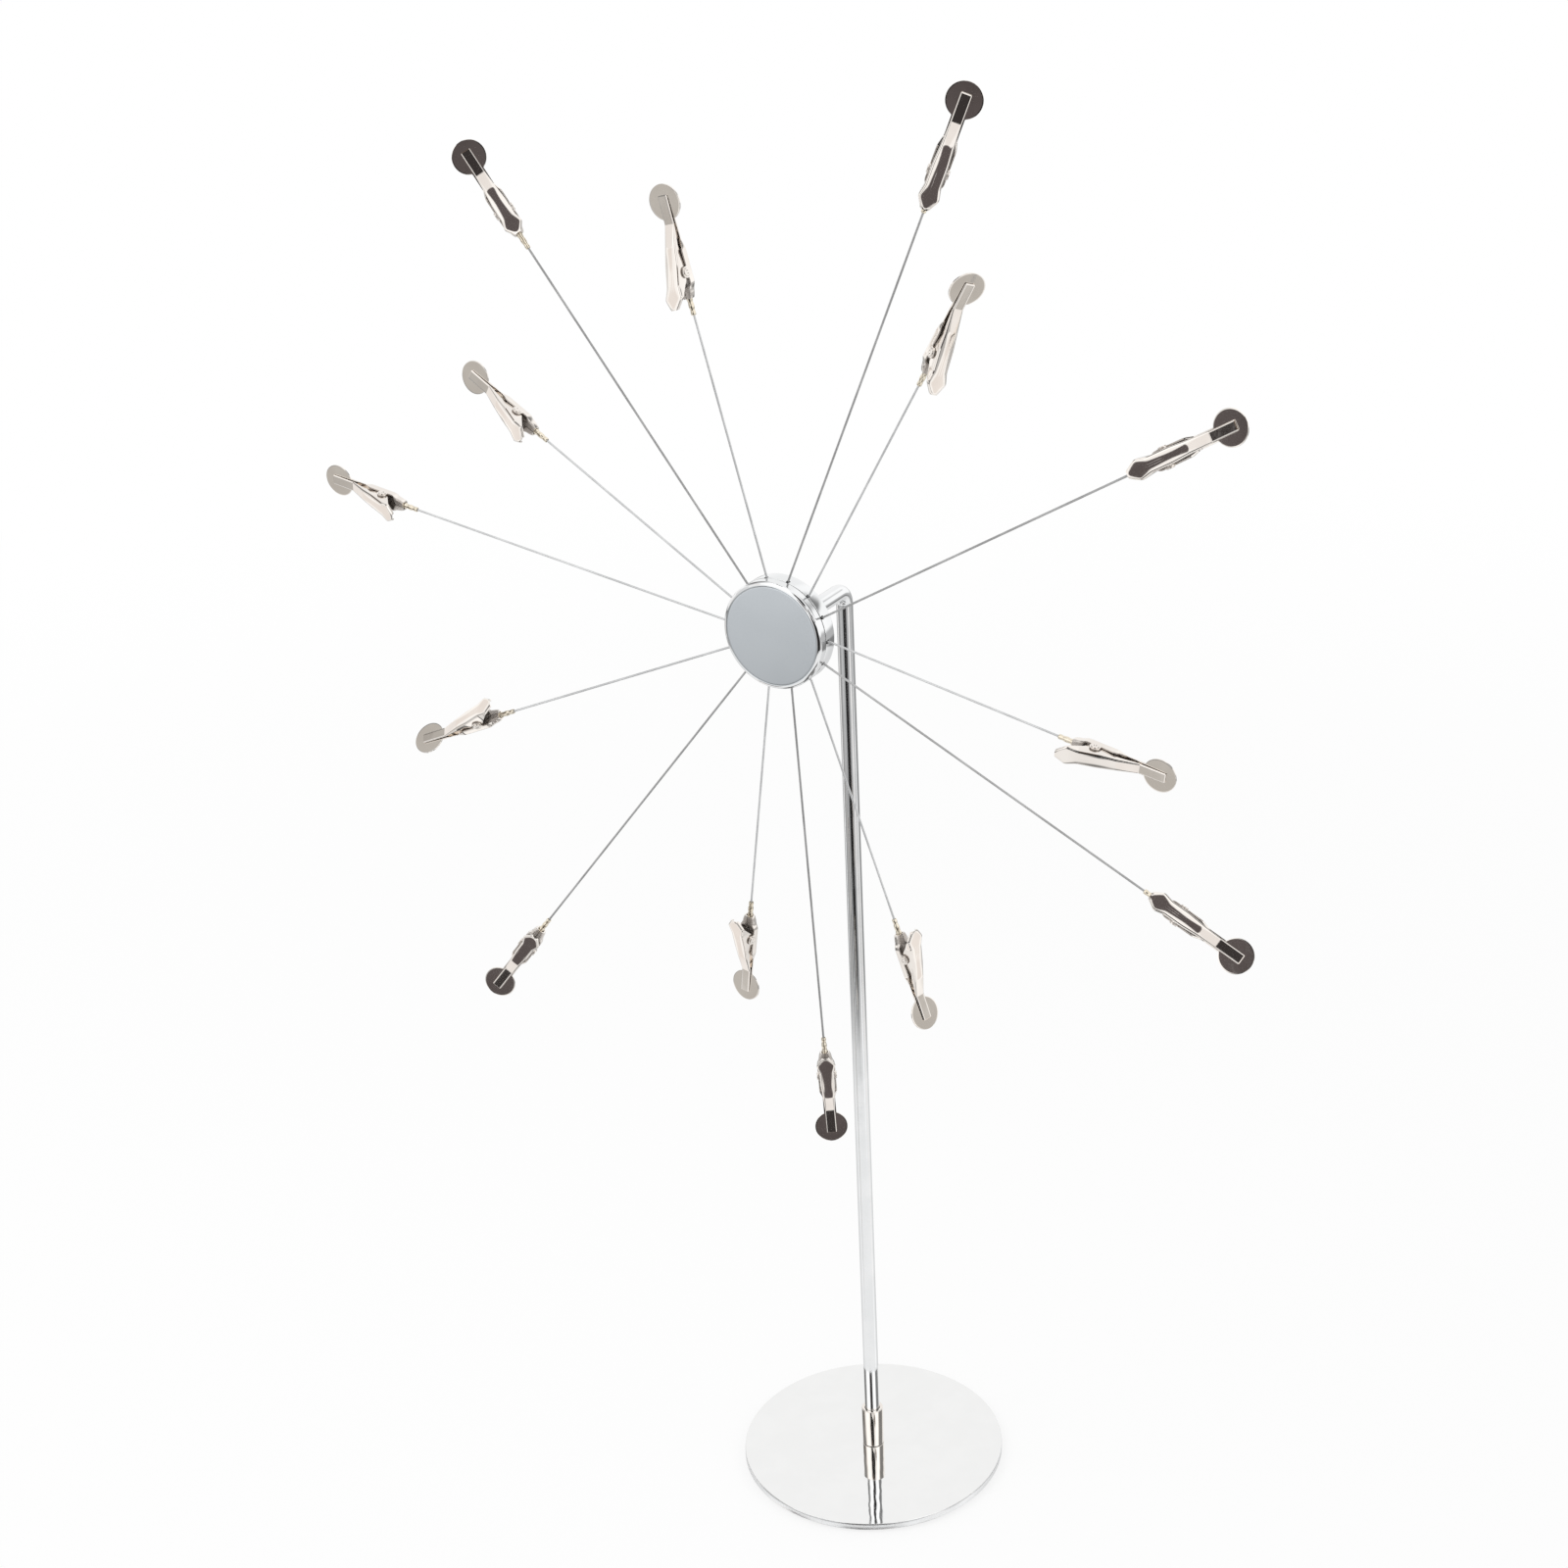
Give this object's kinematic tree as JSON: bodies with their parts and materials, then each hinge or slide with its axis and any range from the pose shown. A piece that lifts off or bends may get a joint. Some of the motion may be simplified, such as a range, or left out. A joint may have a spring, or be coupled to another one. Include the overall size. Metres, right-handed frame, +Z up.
{
  "type": "ferris wheel photo holder",
  "caption": "Table-top photo holder: a weighted round base and bent post carry a free-turning hub with long and short wire spokes, each ending in a sprung clip.",
  "frame": {"origin": "on the underside of the base, on the post's axis", "axes": "+Z up along the post; the wheel's face and its arm point to -Y; +X to the right seen from the front"},
  "size_m": [0.3868, 0.1363, 0.5833],
  "materials": {
    "base_foam": "matte closed-cell foam",
    "base_plate": "mirror chrome plate on steel",
    "base_screw": "zinc plated",
    "post_ferrule": "bright warm nickel plate",
    "post_arm": "mirror chrome plate on steel rod",
    "axle_screw": "plain steel",
    "axle_washer": "plain steel",
    "hub_front_cap": "satin face with a polished bevel",
    "hub_rear_disc": "bright chrome plate",
    "hub_bush": "nylon",
    "spoke_wire": "drawn spring wire",
    "clip_jaw": "bright nickel plate on folded steel sheet",
    "clip_lever": "bright nickel plate on folded steel sheet"
  },
  "bodies": {
    "stand": {"base_foam": "base_foam", "base_plate": "base_plate", "base_screw": "base_screw", "post_ferrule": "post_ferrule", "post_arm": "post_arm", "axle_screw": "axle_screw", "axle_washer": "axle_washer"},
    "wheel": {"hub_front_cap": "hub_front_cap", "hub_rear_disc": "hub_rear_disc", "hub_bush": "hub_bush", "spoke_wire_01": "spoke_wire", "spoke_wire_02": "spoke_wire", "spoke_wire_03": "spoke_wire", "spoke_wire_04": "spoke_wire", "spoke_wire_05": "spoke_wire", "spoke_wire_06": "spoke_wire", "spoke_wire_07": "spoke_wire", "spoke_wire_08": "spoke_wire", "spoke_wire_09": "spoke_wire", "spoke_wire_10": "spoke_wire", "spoke_wire_11": "spoke_wire", "spoke_wire_12": "spoke_wire", "spoke_wire_13": "spoke_wire", "spoke_wire_14": "spoke_wire", "clip_jaw_01": "clip_jaw", "clip_jaw_02": "clip_jaw", "clip_jaw_03": "clip_jaw", "clip_jaw_04": "clip_jaw", "clip_jaw_05": "clip_jaw", "clip_jaw_06": "clip_jaw", "clip_jaw_07": "clip_jaw", "clip_jaw_08": "clip_jaw", "clip_jaw_09": "clip_jaw", "clip_jaw_10": "clip_jaw", "clip_jaw_11": "clip_jaw", "clip_jaw_12": "clip_jaw", "clip_jaw_13": "clip_jaw", "clip_jaw_14": "clip_jaw"},
    "lever_01": {"clip_lever_01": "clip_lever"},
    "lever_02": {"clip_lever_02": "clip_lever"},
    "lever_03": {"clip_lever_03": "clip_lever"},
    "lever_04": {"clip_lever_04": "clip_lever"},
    "lever_05": {"clip_lever_05": "clip_lever"},
    "lever_06": {"clip_lever_06": "clip_lever"},
    "lever_07": {"clip_lever_07": "clip_lever"},
    "lever_08": {"clip_lever_08": "clip_lever"},
    "lever_09": {"clip_lever_09": "clip_lever"},
    "lever_10": {"clip_lever_10": "clip_lever"},
    "lever_11": {"clip_lever_11": "clip_lever"},
    "lever_12": {"clip_lever_12": "clip_lever"},
    "lever_13": {"clip_lever_13": "clip_lever"},
    "lever_14": {"clip_lever_14": "clip_lever"}
  },
  "joints": [
    {"name": "wheel_spin", "type": "hinge", "parent": "stand", "child": "wheel", "pos_m": [0, -0.051, 0.3923], "axis": [0, -1, 0], "continuous": true},
    {"name": "clip_01_open", "type": "hinge", "parent": "wheel", "child": "lever_01", "pos_m": [0.0607, -0.03434, 0.5553], "axis": [0.8539, 0.3732, -0.3628], "range_deg": [0, 30], "stiffness_Nm_per_rad": 0.02, "springref_deg": -45.84},
    {"name": "clip_02_open", "type": "hinge", "parent": "wheel", "child": "lever_02", "pos_m": [0.06809, -0.04897, 0.50098], "axis": [0.5415, 0.7879, -0.2932], "range_deg": [0, 30], "stiffness_Nm_per_rad": 0.02, "springref_deg": -45.84},
    {"name": "clip_03_open", "type": "hinge", "parent": "wheel", "child": "lever_03", "pos_m": [0.15095, -0.05459, 0.47916], "axis": [0.5034, -0.0871, -0.8597], "range_deg": [0, 30], "stiffness_Nm_per_rad": 0.02, "springref_deg": -45.84},
    {"name": "clip_04_open", "type": "hinge", "parent": "wheel", "child": "lever_04", "pos_m": [0.12653, -0.05353, 0.37278], "axis": [-0.1709, 0.087, -0.9814], "range_deg": [0, 30], "stiffness_Nm_per_rad": 0.02, "springref_deg": -45.84},
    {"name": "clip_05_open", "type": "hinge", "parent": "wheel", "child": "lever_05", "pos_m": [0.15838, -0.05288, 0.31945], "axis": [-0.3625, -0.5732, -0.7349], "range_deg": [0, 30], "stiffness_Nm_per_rad": 0.02, "springref_deg": -45.84},
    {"name": "clip_06_open", "type": "hinge", "parent": "wheel", "child": "lever_06", "pos_m": [0.05034, -0.04648, 0.27488], "axis": [-0.307, -0.9455, -0.1083], "range_deg": [0, 30], "stiffness_Nm_per_rad": 0.02, "springref_deg": -45.84},
    {"name": "clip_07_open", "type": "hinge", "parent": "wheel", "child": "lever_07", "pos_m": [0.01665, -0.05292, 0.21889], "axis": [-0.8378, -0.5443, -0.0427], "range_deg": [0, 30], "stiffness_Nm_per_rad": 0.02, "springref_deg": -45.84},
    {"name": "clip_08_open", "type": "hinge", "parent": "wheel", "child": "lever_08", "pos_m": [-0.02117, -0.04601, 0.26561], "axis": [-0.9833, 0.1045, 0.1488], "range_deg": [0, 30], "stiffness_Nm_per_rad": 0.02, "springref_deg": -45.84},
    {"name": "clip_09_open", "type": "hinge", "parent": "wheel", "child": "lever_09", "pos_m": [-0.10339, -0.0732, 0.25481], "axis": [-0.7681, -0.1882, 0.6121], "range_deg": [0, 30], "stiffness_Nm_per_rad": 0.02, "springref_deg": -45.84},
    {"name": "clip_10_open", "type": "hinge", "parent": "wheel", "child": "lever_10", "pos_m": [-0.11663, -0.0733, 0.34759], "axis": [-0.4139, 0.6861, 0.5983], "range_deg": [0, 30], "stiffness_Nm_per_rad": 0.02, "springref_deg": -45.84},
    {"name": "clip_11_open", "type": "hinge", "parent": "wheel", "child": "lever_11", "pos_m": [-0.1728, -0.04655, 0.4156], "axis": [0.1486, -0.1045, 0.9834], "range_deg": [0, 30], "stiffness_Nm_per_rad": 0.02, "springref_deg": -45.84},
    {"name": "clip_12_open", "type": "hinge", "parent": "wheel", "child": "lever_12", "pos_m": [-0.11272, -0.03944, 0.45363], "axis": [0.4838, 0.0174, 0.875], "range_deg": [0, 30], "stiffness_Nm_per_rad": 0.02, "springref_deg": -45.84},
    {"name": "clip_13_open", "type": "hinge", "parent": "wheel", "child": "lever_13", "pos_m": [-0.10918, -0.03941, 0.52826], "axis": [0.6291, 0.6148, 0.4756], "range_deg": [0, 30], "stiffness_Nm_per_rad": 0.02, "springref_deg": -45.84},
    {"name": "clip_14_open", "type": "hinge", "parent": "wheel", "child": "lever_14", "pos_m": [-0.03062, -0.04978, 0.51703], "axis": [0.9692, 0.0174, 0.2458], "range_deg": [0, 30], "stiffness_Nm_per_rad": 0.02, "springref_deg": -45.84}
  ]
}
